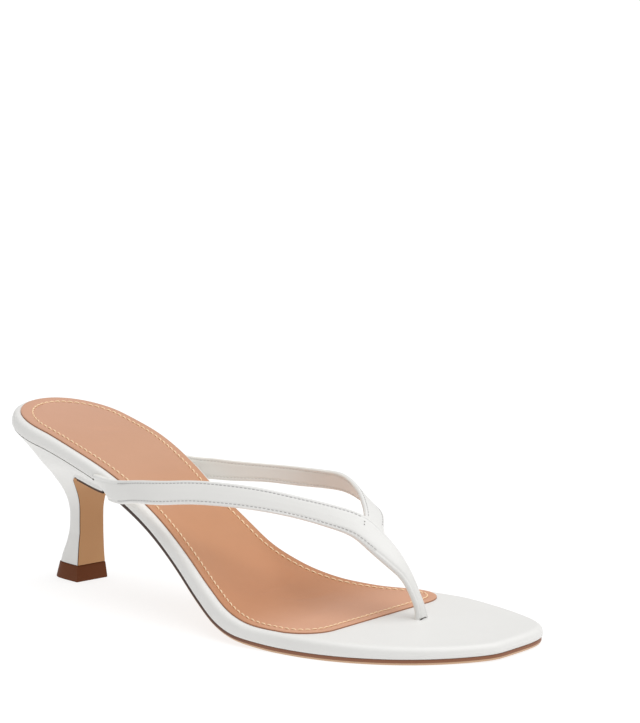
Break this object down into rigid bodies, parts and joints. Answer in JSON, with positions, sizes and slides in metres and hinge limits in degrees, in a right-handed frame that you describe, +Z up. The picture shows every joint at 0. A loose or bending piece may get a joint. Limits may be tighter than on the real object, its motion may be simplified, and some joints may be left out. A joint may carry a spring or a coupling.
{
  "type": "toe post sandal",
  "caption": "Heeled toe post sandal with two slim straps that meet at the post, a stitched insole and a covered, waisted kitten heel.",
  "frame": {"origin": "centre of the heel tip's flat underside, on the floor", "axes": "+X from the heel to the toe along the floor, +Y to the inner side of the foot, +Z up"},
  "size_m": [0.2289, 0.0901, 0.0664],
  "materials": {
    "white_leather": "smooth, slightly glossy",
    "tan_leather": "smooth, satin",
    "breast_leather": "smooth, satin",
    "sole_leather": "smooth, waxed edge",
    "heel_lift": "satin"
  },
  "bodies": {
    "root": {"footbed": "white_leather", "insole": "tan_leather", "outsole": "sole_leather", "heel": "white_leather", "heel_breast": "breast_leather", "top_piece": "heel_lift", "upper_straps": "white_leather"}
  },
  "joints": []
}
